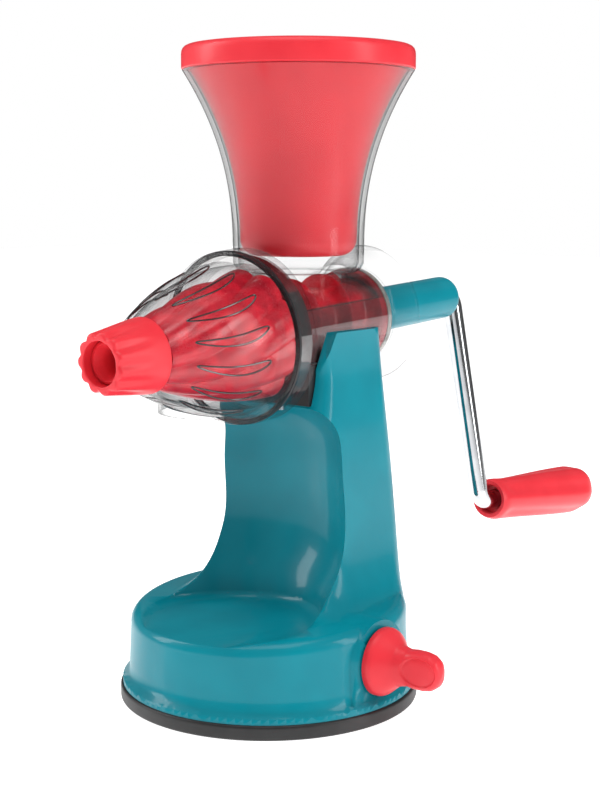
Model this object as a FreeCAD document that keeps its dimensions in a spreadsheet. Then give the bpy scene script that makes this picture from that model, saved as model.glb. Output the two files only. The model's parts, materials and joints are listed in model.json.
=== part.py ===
"""Hand-cranked fruit juicer with a suction base, modelled as separate pieces.

World frame: millimetres, +Z up, origin at the middle of the base's underside.
The barrel axis runs along Y: the nozzle points towards -Y and dips by a few
degrees, the crank is at +Y and the suction lever is on the +X side.
Barrel pieces are turned about a local Z axis that runs towards the nozzle, and
local Z = 0 lies straight above the base's centre.
"""
import FreeCAD, Part
import math
import os
import re

import Sketcher
from FreeCAD import Matrix, Placement, Rotation, Vector

# ---------------------------------------------------------------- dimensions
SIZES = {
    # base
    "foot_radius": 72.5, "foot_tall": 7, "foot_seal_width": 13,
    "lip_radius": 71.2, "lip_tall": 4, "drum_radius": 68.2, "drum_draft": 1.2,
    "drum_top": 41.5, "drum_rise": 8.5, "drum_shoulder": 6, "housing_wall": 2.6,
    "seat_back": 29.5, "seat_radius": 39.5, "seat_depth": 1.2,
    # tower
    "tower_top": 177, "tower_half": 33, "tower_back": 50.5, "tower_front": 6,
    "tower_spread": 5, "tower_lean": 10, "tower_corner": 10,
    "scoop_radius": 56, "scoop_foot_radius": 44, "scoop_neck_radius": 52.5, "scoop_rise": 44, "brow_height": 142,
    "brow_reach": 17, "yoke_floor": 143, "yoke_gap": 0.5,
    # suction works
    "knob_height": 28, "knob_radius": 16, "knob_tip": 102, "knob_paddle_tall": 17,
    "knob_paddle_thick": 11, "knob_stem_radius": 8.5, "boss_radius": 19, "shaft_radius": 4,
    "stem_radius": 3.5, "stem_travel": 3, "plate_thick": 3, "plate_height": 9, "cup_skin": 2.4,
    "screw_radius": 2, "screw_head_radius": 3.8, "screw_circle": 54, "cam_lift": 3,
    "cam_gap": 0.55, "frame_bar": 1.8, "pin_radius": 1.5,
    # barrel and hopper
    "barrel_height": 176.7, "barrel_tilt": 3, "barrel_radius": 26.5, "barrel_wall": 2,
    "socket_radius": 41, "socket_wall": 2.4, "socket_back": 12, "socket_front": 24.5,
    "bell_radius": 34.6, "bell_start": 58, "bell_end": 77.5, "back_wall": 70, "back_wall_thick": 3,
    "hopper_offset": 23, "hopper_mouth_radius": 55.4, "hopper_top": 299.6,
    "hopper_waist_radius": 31.8, "hopper_waist": 216, "hopper_wall": 2.4, "hopper_power": 2.25,
    "throat_radius": 23.5, "throat_top": 206,
    # strainer cone and nozzle
    "seal_thick": 1.4, "flange_thick": 2.8, "flange_radius": 40.4, "cone_root_radius": 36,
    "cone_nose_radius": 18.6, "cone_nose": 83, "cone_bulge": 3.2, "cone_wall": 2.4,
    "neck_radius": 14.6, "neck_wall": 2.2, "neck_length": 14, "skirt_radius": 27,
    "skirt_back": 37, "skirt_bottom": 142.5, "skirt_wall": 2, "outlet_radius": 18,
    "outlet_depth": 10, "slot_count": 16,
    "slot_width": 1.5, "slot_start": 38, "slot_end": 74,
    "nozzle_back_radius": 17.2, "nozzle_front_radius": 13.3, "nozzle_end": 110.4,
    "nozzle_bore_radius": 9.7, "pulp_bore_radius": 5.6, "flute_count": 11, "flute_radius": 3.2, "flute_offset": 3.8,
    # auger and crank
    "auger_radius": 24, "auger_core": 16.5, "auger_pitch": 24, "auger_disc": 5,
    "auger_cone_radius": 31.5, "auger_cone_nose": 15.2, "hex_radius": 5.5,
    "hub_radius": 11.4, "hub_end": 150, "rod_radius": 5.2, "rod_bend": 6.5, "rod_elbow": 7.5,
    "rod_plane": 157, "arm_length": 116, "arm_swing": 8.7, "grip_dip": 8, "grip_near_radius": 12,
    "grip_far_radius": 14.8, "grip_length": 101, "grip_start": 8.5,
    # pusher and lid
    "pusher_gap": 1.3, "pusher_wall": 2, "pusher_bottom": 212, "lid_radius": 55.8,
    "lid_tall": 12, "lid_round": 3.5, "lid_wall": 2.4,
    # clearances
    "running_gap": 0.3, "fit_gap": 0.05,
}

doc = FreeCAD.newDocument("juicer")
sheet = doc.addObject("Spreadsheet::Sheet", "Sizes")
for row, (name, number) in enumerate(SIZES.items(), 1):
    sheet.set(f"A{row}", name)
    sheet.set(f"B{row}", str(number))
    sheet.setAlias(f"B{row}", name)
doc.recompute()


def size(expression):
    """The value of an expression written in the sheet's names."""
    answer = sheet.evalExpression(str(expression))
    return float(getattr(answer, "Value", answer))


def bound(expression):
    """The same expression as another object has to write it."""
    return re.sub(r"[a-z_]{3,}", lambda word: named(word.group(0)), str(expression))


def named(word):
    """A sheet name with the sheet in front of it; any other word as it is."""
    return "Sizes." + word if word in SIZES else word


subparts = {}


def keep(item, label, placement=Placement()):
    """Register one sub-part: its label is the name of its file."""
    item.Label = label
    item.Placement = placement
    subparts[label] = item
    return item


def shaped(label, shape, placement=Placement()):
    """A sub-part whose shape is worked out with Part's own functions."""
    item = doc.addObject("Part::Feature", label)
    item.Shape = shape
    return keep(item, label, placement.multiply(shape.Placement))


def sketch_loop(body, name, role, corners):
    """A closed sketch of straight lines with every corner bound to the sheet."""
    sketch = body.newObject("Sketcher::SketchObject", name)
    plane = [item for item in body.Origin.OriginFeatures if item.Role == role][0]
    sketch.AttachmentSupport = [(plane, "")]
    sketch.MapMode = "FlatFace"
    spots = [Vector(size(a), size(b), 0) for a, b in corners]
    for first, second in zip(spots, spots[1:] + spots[:1]):
        sketch.addGeometry(Part.LineSegment(first, second), False)
    for edge in range(len(corners)):
        following = (edge + 1) % len(corners)
        sketch.addConstraint(Sketcher.Constraint("Coincident", edge, 2, following, 1))
    for edge, (across, along) in enumerate(corners):
        for kind, text, number in (("DistanceX", across, spots[edge].x),
                                   ("DistanceY", along, spots[edge].y)):
            rule = sketch.addConstraint(Sketcher.Constraint(kind, -1, 1, edge, 1, number))
            sketch.setExpression(f"Constraints[{rule}]", bound(text))
    return sketch


def turned(label, corners, placement=Placement()):
    """A PartDesign body turned about local Z from (radius, height) corners."""
    body = doc.addObject("PartDesign::Body", label)
    sketch = sketch_loop(body, label + "_outline", "XZ_Plane", corners)
    turn = body.newObject("PartDesign::Revolution", label + "_turn")
    turn.Profile = sketch
    turn.ReferenceAxis = (sketch, ["V_Axis"])
    turn.Angle = 360
    return keep(body, label, placement)


def profile_turn(edges):
    """A solid turned about Z from the edges of a closed outline in the XZ plane."""
    face = Part.Face(Part.Wire(edges))
    solid = face.revolve(Vector(0, 0, 0), Vector(0, 0, 1), 360)
    return Part.Solid(solid.Shells[0]) if not solid.Solids else solid.Solids[0]


def flat(radius, height):
    """A point of a turned outline."""
    return Vector(radius, 0, height)


def lines(points):
    """Straight edges through the points."""
    return [Part.makeLine(a, b) for a, b in zip(points, points[1:])]


def smooth(points):
    """One smooth curve through the points."""
    curve = Part.BSplineCurve()
    curve.interpolate(points)
    return curve.toShape()


# ------------------------------------------------------------ shared frames
tilt = size("barrel_tilt")
barrel_frame = Placement(Vector(0, 0, size("barrel_height")), Rotation(Vector(1, 0, 0), 90 + tilt))
hopper_axis = Vector(0, size("hopper_offset"), 0)
PLATE_TOP = size("plate_height + plate_thick")
lever_frame = Placement(Vector(0, 0, size("knob_height")), Rotation(Vector(0, 1, 0), 90))


def moved(shape):
    """A rigid move into the barrel frame."""
    copy = shape.copy()
    copy.Placement = barrel_frame.inverse().multiply(copy.Placement)
    return copy


# ---------------------------------------------------------------- the base
def screw_spots():
    """Four screws on a circle, between the lever and the tower."""
    circle = size("screw_circle")
    return [(circle * math.cos(math.radians(a)), circle * math.sin(math.radians(a)))
            for a in (45, 135, 225, 315)]


def saddle_screw_spots():
    """Two screws on the middle line of the saddle."""
    return [Vector(0, y, size("yoke_floor + 4")) for y in (10, size("tower_back") - 20)]


def tower_section(half, front, back, corner, height):
    """A rounded rectangle at one height: four arcs joined by four lines."""
    spots = [(half, back - corner, half - corner, back), (-half + corner, back, -half, back - corner),
             (-half, front + corner, -half + corner, front), (half - corner, front, half, front + corner)]
    centres = [(half - corner, back - corner, 45), (-half + corner, back - corner, 135),
               (-half + corner, front + corner, 225), (half - corner, front + corner, 315)]
    edges = []
    for index, (x1, y1, x2, y2) in enumerate(spots):
        cx, cy, angle = centres[index]
        middle = Vector(cx + corner * math.cos(math.radians(angle)),
                        cy + corner * math.sin(math.radians(angle)), height)
        edges.append(Part.Arc(Vector(x1, y1, height), middle, Vector(x2, y2, height)).toShape())
        nx, ny = spots[(index + 1) % 4][:2]
        edges.append(Part.makeLine(Vector(x2, y2, height), Vector(nx, ny, height)))
    return Part.Wire(edges)


def tower_block(inset):
    """The tower's outer form, drawn in by inset: a loft that flares into the drum."""
    top = size("tower_top")
    foot = size("drum_top")
    half = size("tower_half")
    back = size("tower_back")
    front = -size("tower_front")
    corner = size("tower_corner")
    spread = size("tower_spread")
    lean = size("tower_lean")
    rim = size("drum_radius - drum_draft - 3")
    rows = [
        (top - inset, half, front, back, corner),
        (foot + 0.65 * (top - foot), half + 0.6 * spread, front, back + 0.5 * lean, corner + 2),
        (foot + 0.36 * (top - foot), half + spread, front, back + 0.95 * lean, corner + 3),
        (foot + 0.15 * (top - foot), half + spread + 3, front, back + 1.15 * lean, corner + 6),
        (foot + 0.06 * (top - foot), half + spread + 9, front - 14, back + 1.25 * lean, corner + 16),
        (foot + 0.015 * (top - foot), half + spread + 19, front - 36, back + 1.35 * lean, corner + 34),
        (foot - 3, rim, -rim, rim, rim - 0.5),
    ]
    wires = [tower_section(h - inset, f + inset, b - inset, c - inset, z) for z, h, f, b, c in rows]
    return Part.makeLoft(wires, True, False)


def scoop_cutter(inset):
    """The hollow that clears a tumbler: turned about the seat's upright axis."""
    floor = size("drum_top - seat_depth") - inset
    foot = size("scoop_foot_radius") + inset
    belly = size("scoop_radius") + inset
    neck = size("scoop_neck_radius") + inset
    low = size("drum_top") + 2
    rise = size("scoop_rise")
    brow = size("brow_height") + inset
    curve = smooth([flat(foot, low), flat(foot + 0.17 * (belly - foot), low + 0.18 * rise),
                    flat(foot + 0.6 * (belly - foot), low + 0.42 * rise), flat(belly, low + rise),
                    flat(0.5 * (belly + neck), brow - 28), flat(neck, brow - 13), flat(neck - 6, brow - 4),
                    flat(neck - 16, brow)])
    edges = lines([flat(0, brow), flat(0, floor), flat(size("seat_radius") + inset, floor), flat(foot, low)])
    edges += [curve, Part.makeLine(flat(neck - 16, brow), flat(0, brow))]
    solid = profile_turn(edges)
    solid.translate(Vector(0, -size("seat_back"), 0))
    return solid


def drum_block(inset):
    """The drum with its lip, drawn in by inset; its rounded top rises to the rear."""
    bottom = size("foot_tall") if inset == 0 else 0
    lip_top = size("foot_tall + lip_tall")
    radius = size("drum_radius") - inset
    upper = size("drum_radius - drum_draft") - inset
    top = size("drum_top") - inset
    shoulder = size("drum_shoulder") - inset
    middle = flat(upper - shoulder + shoulder * math.sin(math.pi / 4),
                  top - shoulder + shoulder * math.cos(math.pi / 4))
    edges = lines([flat(0, top), flat(0, lip_top + 4), flat(upper, lip_top + 4), flat(upper, top - shoulder)])
    edges.append(Part.Arc(flat(upper, top - shoulder), middle, flat(upper - shoulder, top)).toShape())
    edges.append(Part.makeLine(flat(upper - shoulder, top), flat(0, top)))
    slope = size("drum_rise / (2 * drum_radius)")
    leaning = Matrix()
    leaning.A32 = slope
    leaning.A34 = size("drum_rise / 2")
    crown = profile_turn(edges).transformGeometry(leaning)
    corners = [flat(0, bottom), flat(radius, bottom), flat(upper, top - shoulder), flat(0, top - shoulder),
               flat(0, bottom)]
    if inset == 0:
        lip = size("lip_radius")
        corners[1:2] = [flat(lip, bottom), flat(lip, lip_top - 1), flat(radius, lip_top)]
    return crown.fuse(profile_turn(lines(corners)))


def brow_wedge():
    """What is cut away in front of the cheeks, above the brow."""
    brow = size("brow_height")
    top = size("tower_top") + 5
    front = -size("tower_front")
    reach = size("brow_reach")
    points = [Vector(-80, front, brow), Vector(-80, front + reach * (top - brow) / (top - 5 - brow), top),
              Vector(-80, front - 60, top), Vector(-80, front - 60, brow), Vector(-80, front, brow)]
    return Part.Face(Part.Wire(lines(points))).extrude(Vector(160, 0, 0))


def knob_boss(inset):
    """The arched boss that carries the suction lever."""
    radius = size("boss_radius") - inset
    reach = size("drum_radius - 1") - inset
    boss = Part.makeCylinder(radius, reach - 40, Vector(40, 0, size("knob_height")), Vector(1, 0, 0))
    block = Part.makeBox(reach - 40, 2 * radius, size("knob_height"), Vector(40, -radius, 0))
    floor = size("foot_tall") if inset == 0 else 0
    low = Part.makeBox(100, 4 * radius, 100, Vector(30, -2 * radius, floor - 100))
    return boss.fuse(block).cut(low)


def base_housing():
    """Drum, tower and yoke in one moulding, hollow and open underneath."""
    wall = size("housing_wall")
    outer = tower_block(0).cut(brow_wedge())
    outer = outer.fuse([drum_block(0), knob_boss(0)])
    outer = outer.cut(scoop_cutter(0))
    ceiling = Part.makeBox(200, 200, 100, Vector(-100, -100, size("yoke_floor") - wall))
    inner = tower_block(wall).cut(brow_wedge())
    inner = inner.fuse([drum_block(wall), knob_boss(wall)])
    inner = inner.cut(scoop_cutter(wall)).cut(ceiling)
    half = size("barrel_radius + yoke_gap")
    slot = Part.makeBox(2 * half, 200, 100, Vector(-half, -100, size("yoke_floor")))
    hole = Part.makeCylinder(size("shaft_radius + fit_gap"), 60, Vector(30, 0, size("knob_height")),
                             Vector(1, 0, 0))
    body = outer.cut(inner).cut(slot).cut(hole)
    for x, y in screw_spots():
        post = Part.makeCylinder(size("screw_head_radius + 1"), 60, Vector(x, y, PLATE_TOP))
        body = body.fuse(post.common(outer))
    for x, y in screw_spots():
        body = body.cut(Part.makeCylinder(size("screw_radius + fit_gap"), 14,
                                          Vector(x, y, PLATE_TOP - 1)))
    for spot in saddle_screw_spots():
        body = body.cut(Part.makeCylinder(size("screw_radius + fit_gap"), 20, spot - Vector(0, 0, 20)))
    return body.removeSplitter()


shaped("base_housing", base_housing())

turned("suction_cup", [
    ("0", "plate_height - cup_skin - 1"), ("foot_radius - foot_seal_width - 6", "plate_height - cup_skin - 1"),
    ("foot_radius - foot_seal_width", "0"), ("foot_radius - 1", "0"), ("foot_radius", "1"),
    ("foot_radius", "foot_tall - 0.5"), ("foot_radius - 0.5", "foot_tall"),
    ("drum_radius - housing_wall - 0.6", "foot_tall"), ("drum_radius - housing_wall - 0.6", "plate_height"),
    ("stem_radius + 6.5", "plate_height"), ("stem_radius + 6.5", "plate_height - cup_skin + 1"),
    ("0", "plate_height - cup_skin + 1")])


def suction_stem():
    """Foot disc, round stem and an upright frame that the cam lifts from inside."""
    low = size("plate_height - cup_skin + 1")
    radius = size("stem_radius")
    axis = size("knob_height")
    bar = size("frame_bar")
    width = size("shaft_radius + cam_lift + 1")
    under = axis - size("shaft_radius + stem_travel + 0.3")
    over = axis + size("shaft_radius + cam_gap")
    foot = Part.makeCylinder(radius + 6, size("cup_skin - 1"), Vector(0, 0, low))
    stem = Part.makeCylinder(radius, under - low, Vector(0, 0, low))
    outside = Part.makeBox(2 * radius, 2 * (width + bar), over - under + 2 * bar,
                           Vector(-radius, -width - bar, under - bar))
    window = Part.makeBox(2 * radius, 2 * width, over - under, Vector(-radius, -width, under))
    return foot.fuse([stem, outside.cut(window)]).removeSplitter()


def base_plate():
    """The plate that clamps the rubber, with a guide for the stem and a spring seat."""
    radius = size("drum_radius - housing_wall - 0.9")
    low = size("plate_height")
    thick = size("plate_thick")
    plate = Part.makeCylinder(radius, thick, Vector(0, 0, low))
    guide = Part.makeCylinder(size("stem_radius + 9"), size("stem_travel + 3.5"), Vector(0, 0, low))
    plate = plate.fuse(guide)
    plate = plate.cut(Part.makeCylinder(size("stem_radius + 6.8"), size("stem_travel + 1"), Vector(0, 0, low)))
    plate = plate.cut(Part.makeCylinder(size("stem_radius + fit_gap"), 60, Vector(0, 0, low)))
    for x, y in screw_spots():
        plate = plate.cut(Part.makeCylinder(size("screw_radius + fit_gap"), 60, Vector(x, y, low - 1)))
        sink = Part.makeCylinder(size("screw_head_radius + 0.2"), 1.5, Vector(x, y, low))
        plate = plate.cut(sink)
    bracket = Part.makeBox(6, 16, size("knob_height + shaft_radius + 3") - low - thick,
                           Vector(20, -8, low + thick))
    plate = plate.fuse(bracket)
    return plate.cut(Part.makeCylinder(size("shaft_radius + fit_gap"), 20,
                                       Vector(15, 0, size("knob_height")), Vector(1, 0, 0)))


shaped("suction_stem", suction_stem())
shaped("base_plate", base_plate())


def screw(length):
    """A pan-head screw standing on its tip, head downwards."""
    head = Part.makeCylinder(size("screw_head_radius"), 1.5)
    return head.fuse(Part.makeCylinder(size("screw_radius"), length, Vector(0, 0, 1.5))).removeSplitter()


def copies(shape, spots):
    """The same solid at several places, as one group."""
    placed = []
    for spot in spots:
        one = shape.copy()
        one.translate(spot)
        placed.append(one)
    return Part.makeCompound(placed)


shaped("base_screws", copies(screw(12), [Vector(x, y, size("plate_height")) for x, y in screw_spots()]))


def cam_shaft():
    """Round shaft from the stem frame out through the drum wall, with a cam lobe."""
    radius = size("shaft_radius")
    lift = size("cam_lift")
    nose = radius + lift - lift * 1.3
    half = size("stem_radius")
    shaft = Part.makeCylinder(radius, size("drum_radius + 6") + half, Vector(0, 0, -half))
    lobe = Part.makeCylinder(nose, 2 * half, Vector(0, lift * 1.3, -half))
    web = Part.makeBox(2 * nose, lift * 1.3, 2 * half, Vector(-nose, 0, -half))
    return shaft.fuse([lobe, web]).removeSplitter()


# The cam shaft runs from the stem out through the drum wall to the lever.
shaped("cam_shaft", cam_shaft(), lever_frame)

turned("shaft_clip", [
    ("shaft_radius", "drum_radius - housing_wall - 3"), ("shaft_radius + 3", "drum_radius - housing_wall - 3"),
    ("shaft_radius + 3", "drum_radius - housing_wall - 1.4"), ("shaft_radius", "drum_radius - housing_wall - 1.4")],
    lever_frame)


def lever_knob():
    """Flared collar, neck and a flat oval paddle, along local Z."""
    start = size("drum_radius + running_gap")
    radius = size("knob_radius")
    neck = size("knob_stem_radius")
    tip = size("knob_tip")
    collar = profile_turn(lines([flat(0, start), flat(radius, start), flat(radius, start + 4)]) +
                          [smooth([flat(radius, start + 4), flat(radius - 1.4, start + 8),
                                   flat(neck + 2.6, start + 13), flat(neck, start + 18)])] +
                          lines([flat(neck, start + 18), flat(0, start + 18), flat(0, start)]))
    tall = size("knob_paddle_tall")
    thick = size("knob_paddle_thick")
    long = tip - start - 12
    paddle = Part.makeBox(tall, thick, long, Vector(-tall / 2, -thick / 2, start + 12))
    paddle = paddle.makeFillet(tall / 2 - 1, [e for e in paddle.Edges
                                              if abs(e.Length - thick) < 1e-6 and e.CenterOfMass.z > tip - 1])
    paddle = paddle.makeFillet(1.8, [e for e in paddle.Edges if e.CenterOfMass.z > start + 13
                                     and abs(abs(e.CenterOfMass.y) - thick / 2) < 1e-3])
    knob = collar.fuse(paddle).removeSplitter()
    for side in (-1, 1):
        dish = Part.makeCylinder(tall / 2 - 2.4, 2, Vector(0, side * (thick / 2 + 1), tip - tall / 2),
                                 Vector(0, -side, 0))
        knob = knob.cut(dish)
    return knob.cut(Part.makeCylinder(size("shaft_radius + fit_gap"), size("drum_radius + 6.3") - start + 1,
                                      Vector(0, 0, start - 1)))


shaped("lever_knob", lever_knob(), lever_frame)


# ------------------------------------------------------------- the saddle
def barrel_saddle():
    """The black block between the cheeks, hollowed to the barrel's round."""
    half = size("barrel_radius")
    floor = size("yoke_floor")
    block = Part.makeBox(2 * half, size("tower_back - tower_front") - 4, 19.5,
                         Vector(-half, -size("tower_front") + 4, floor))
    bed = Part.makeCylinder(size("barrel_radius + fit_gap"), 300, Vector(0, 0, -150))
    bed.Placement = barrel_frame.multiply(bed.Placement)
    collar = Part.makeCylinder(size("socket_radius + running_gap"), 200,
                               Vector(0, 0, size("socket_back - running_gap") - 1.5))
    collar.Placement = barrel_frame.multiply(collar.Placement)
    block = block.cut(bed).cut(collar)
    for spot in saddle_screw_spots():
        block = block.cut(Part.makeCylinder(size("screw_radius + fit_gap"), 60, spot - Vector(0, 0, 30)))
        block = block.cut(Part.makeCylinder(size("screw_head_radius + 0.2"), 60, spot))
    return block.removeSplitter()


shaped("barrel_saddle", barrel_saddle())
saddle_screw = screw(9)
saddle_screw.rotate(Vector(0, 0, 0), Vector(1, 0, 0), 180)
saddle_screw.translate(Vector(0, 0, 1.5))
shaped("saddle_screws", copies(saddle_screw, saddle_screw_spots()))


# ------------------------------------------------- barrel, socket and hopper
def hopper_curve(inset, low, high, count):
    """The hopper's flare: its radius grows from the waist by a power of the height."""
    waist = size("hopper_waist_radius")
    mouth = size("hopper_mouth_radius")
    base = size("hopper_waist")
    top = size("hopper_top")
    points = []
    for step in range(count):
        height = low + (high - low) * step / (count - 1)
        share = max(0.0, (height - base) / (top - base))
        points.append(flat(waist + (mouth - waist) * share ** size("hopper_power") - inset, height))
    return points


def hopper_block(inset, low, shoulder):
    """The hopper's outer form, drawn in by inset, down into the barrel."""
    waist = size("hopper_waist")
    flare = hopper_curve(inset, waist, size("hopper_top"), 8)
    throat = size("throat_radius") - inset
    turn = flat(flare[0].x, waist - shoulder + 2)
    corner = flat(flare[0].x - 0.3 * shoulder, waist - shoulder - 3)
    neck = flat(throat, size("throat_top") - 2)
    edges = [smooth(flare), smooth([neck, flat((throat + corner.x) / 2 + 1, (neck.z + corner.z) / 2 - 0.5),
                                    corner, turn]), Part.makeLine(turn, flare[0])]
    edges += lines([flare[-1], flat(0, flare[-1].z), flat(0, low), flat(throat, low), neck])
    solid = profile_turn(Part.__sortEdges__(edges))
    solid.translate(hopper_axis)
    return solid


def barrel_hopper():
    """Clear moulding: barrel, front socket, rear bell and hopper in one piece."""
    outer = size("barrel_radius")
    inner = size("barrel_radius - barrel_wall")
    back = -size("bell_end")
    start = -size("bell_start")
    wall = size("back_wall")
    thick = size("back_wall_thick")
    socket = size("socket_radius")
    skin = size("socket_wall")
    front = size("socket_front")
    seat = size("socket_back")
    bell = size("bell_radius")
    flare = smooth([flat(outer, start), flat(outer + 1.6, start - 7), flat(bell - 3, back + 6),
                    flat(bell, back + 1)])
    lining = smooth([flat(bell - 2.2, back), flat(bell - 5.4, back + 5.6), flat(outer - 1.2, -wall + 1.2),
                     flat(outer - 3, -wall)])
    edges = [flare, lining]
    edges += lines([flat(outer, start), flat(outer, seat - 6), flat(outer + 3, seat - 1.5),
                    flat(socket - 2, seat), flat(socket, seat + 2), flat(socket, front),
                    flat(socket - skin, front), flat(socket - skin, seat + skin),
                    flat(inner, seat + skin), flat(inner, -wall + thick),
                    flat(size("hub_radius + running_gap"), -wall + thick),
                    flat(size("hub_radius + running_gap"), -wall), flat(outer - 3, -wall)])
    edges += lines([flat(bell, back + 1), flat(bell - 0.6, back), flat(bell - 2.2, back)])
    tube = profile_turn(Part.__sortEdges__(edges))
    bore = Part.makeCylinder(inner, wall - thick + seat + skin, Vector(0, 0, -wall + thick))
    axis_height = size("barrel_height")
    skin_form = moved(hopper_block(0, axis_height + 6, 8))
    hollow = moved(hopper_block(size("hopper_wall"), axis_height, 8))
    return tube.fuse(skin_form.cut(bore)).cut(hollow).removeSplitter()


shaped("barrel_hopper", barrel_hopper(), barrel_frame)

turned("rear_seal", [
    ("hub_radius + running_gap", "-back_wall + back_wall_thick"),
    ("barrel_radius - barrel_wall - 0.3", "-back_wall + back_wall_thick"),
    ("barrel_radius - barrel_wall - 0.3", "-back_wall + back_wall_thick + seal_thick + 1"),
    ("hub_radius + running_gap", "-back_wall + back_wall_thick + seal_thick + 1")], barrel_frame)

turned("front_seal", [
    ("cone_root_radius + 2.2", "socket_front"), ("socket_radius - 0.4", "socket_front"),
    ("socket_radius - 0.4", "socket_front + seal_thick"),
    ("cone_root_radius + 2.2", "socket_front + seal_thick")], barrel_frame)


# --------------------------------------------------- strainer cone and nozzle
def cone_edges(inset, low):
    """The convex side of the cone from the flange to the nose."""
    root = size("cone_root_radius") - inset
    nose = size("cone_nose_radius") - inset
    end = size("cone_nose")
    points = []
    for step in range(6):
        share = step / 5
        straight = root + (nose - root) * share
        bulge = size("cone_bulge") * 4 * share * (1 - share)
        points.append(flat(straight + bulge, low + (end - low) * share))
    return points


def juice_cone():
    """Clear strainer cone with its spigot, flange, threaded neck and juice skirt."""
    seat = size("socket_back + socket_wall") + 0.4
    face = size("socket_front + seal_thick")
    flange = size("flange_radius")
    far = face + size("flange_thick")
    spigot = size("cone_root_radius") + 1.9
    wall = size("cone_wall")
    end = size("cone_nose")
    neck = size("neck_radius")
    bore = size("neck_radius - neck_wall")
    tip = end + size("neck_length")
    side = cone_edges(0, far)
    lining = cone_edges(wall, far)
    edges = [smooth(side), smooth(lining)]
    edges += lines([side[-1], flat(neck, end), flat(neck, tip), flat(bore, tip), flat(bore, end),
                    lining[-1]])
    edges += lines([lining[0], flat(lining[0].x, seat), flat(spigot, seat), flat(spigot, face),
                    flat(flange, face), flat(flange, far - 0.8), flat(flange - 0.8, far), side[0]])
    cone = profile_turn(Part.__sortEdges__(edges))
    radius = size("skirt_radius")
    bottom = size("skirt_bottom")
    centre = Vector(0, -size("skirt_back"), bottom)
    tall = size("barrel_height") - bottom - 4
    tube = moved(Part.makeCylinder(radius, tall, centre))
    hole = moved(Part.makeCylinder(radius - size("skirt_wall"), tall + 1, centre - Vector(0, 0, 1)))
    solid_cone = profile_turn([smooth(side)] + lines([side[-1], flat(0, end), flat(0, seat)]) +
                              lines([flat(0, seat), flat(lining[0].x, seat), flat(lining[0].x, face),
                                     flat(flange - 2, face), flat(flange - 2, far), side[0]]))
    ahead = Part.makeCylinder(90, end - far + 6, Vector(0, 0, face + 0.5))
    skirt = tube.cut(hole).cut(solid_cone).common(ahead)
    below = size("outlet_depth")
    outlet = moved(Part.makeCylinder(size("outlet_radius"), tall + below, centre - Vector(0, 0, below)))
    past_flange = Part.makeCylinder(size("barrel_height"), end, Vector(0, 0, far + size("running_gap")))
    cone = cone.fuse(skirt.Solids).cut(outlet.common(past_flange))
    slot = Part.makeBox(size("slot_width"), 60, size("slot_end - slot_start"),
                        Vector(-size("slot_width") / 2, 5, size("slot_start")))
    count = int(size("slot_count"))
    for index in range(count):
        angle = 360 * (index + 0.5) / count
        cutter = slot.copy()
        cutter.rotate(Vector(0, 0, 0), Vector(0, 0, 1), angle)
        if abs(angle - 180) > 60:
            cone = cone.cut(cutter)
    return cone.removeSplitter()


shaped("juice_cone", juice_cone(), barrel_frame)


def nozzle_knob():
    """Scalloped adjuster knob on the cone's neck."""
    start = size("cone_nose") + 0.3
    end = size("nozzle_end")
    back = size("nozzle_back_radius")
    front = size("nozzle_front_radius")
    thread = size("neck_radius + running_gap")
    depth = size("cone_nose + neck_length") + 0.5
    hole = size("nozzle_bore_radius")
    knob = profile_turn(lines([flat(thread, start), flat(back, start), flat(front + 0.6, end - 1),
                               flat(front - 0.6, end), flat(hole, end), flat(hole, depth + 2),
                               flat(thread, depth), flat(thread, start)]))
    count = int(size("flute_count"))
    depth_in = size("flute_radius") * 0.75
    lean = math.degrees(math.atan((back - front) / (end - start))) + 3.5
    for index in range(count):
        flute = Part.makeCone(size("flute_radius") * 0.6, size("flute_radius"), end - start + 2)
        flute.rotate(Vector(0, 0, 0), Vector(0, 1, 0), -lean)
        flute.translate(Vector(back + size("flute_offset"), 0, start - 1))
        flute.rotate(Vector(0, 0, 0), Vector(0, 0, 1), 360 * index / count)
        knob = knob.cut(flute)
    return knob


shaped("nozzle_knob", nozzle_knob(), barrel_frame)

turned("pulp_tube", [
    ("pulp_bore_radius", "cone_nose + 1"), ("neck_radius - neck_wall - 0.05", "cone_nose + 1"),
    ("neck_radius - neck_wall - 0.05", "cone_nose + neck_length"),
    ("nozzle_bore_radius - 0.3", "cone_nose + neck_length"),
    ("nozzle_bore_radius - 0.3", "nozzle_end - 4.5"), ("nozzle_bore_radius - 1.8", "nozzle_end - 4.5"),
    ("pulp_bore_radius", "nozzle_end - 9")], barrel_frame)


# --------------------------------------------------------- auger and crank
def flight(radius, core, pitch, start, length):
    """A tapered ridge swept along a helix."""
    helix = Part.makeHelix(pitch, length, (radius + core) / 2)
    points = [Vector(core - 1.5, 0, -3), Vector(radius, 0, -1.6), Vector(radius, 0, 1.6),
              Vector(core - 1.5, 0, 3), Vector(core - 1.5, 0, -3)]
    ridge = Part.Wire(helix).makePipeShell([Part.Wire(lines(points))], True, True)
    ridge.translate(Vector(0, 0, start))
    return ridge


def lobed_ring(radius, height, turn, lobes, depth):
    """A closed smooth outline whose radius swings with the angle."""
    count = lobes * 8
    points = []
    for step in range(count):
        angle = 2 * math.pi * step / count
        reach = radius * (1 - depth * (1 - math.cos(lobes * angle + turn)) / 2)
        points.append(Vector(reach * math.cos(angle), reach * math.sin(angle), height))
    curve = Part.BSplineCurve()
    curve.interpolate(points, PeriodicFlag=True)
    return Part.Wire(curve.toShape())


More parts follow.
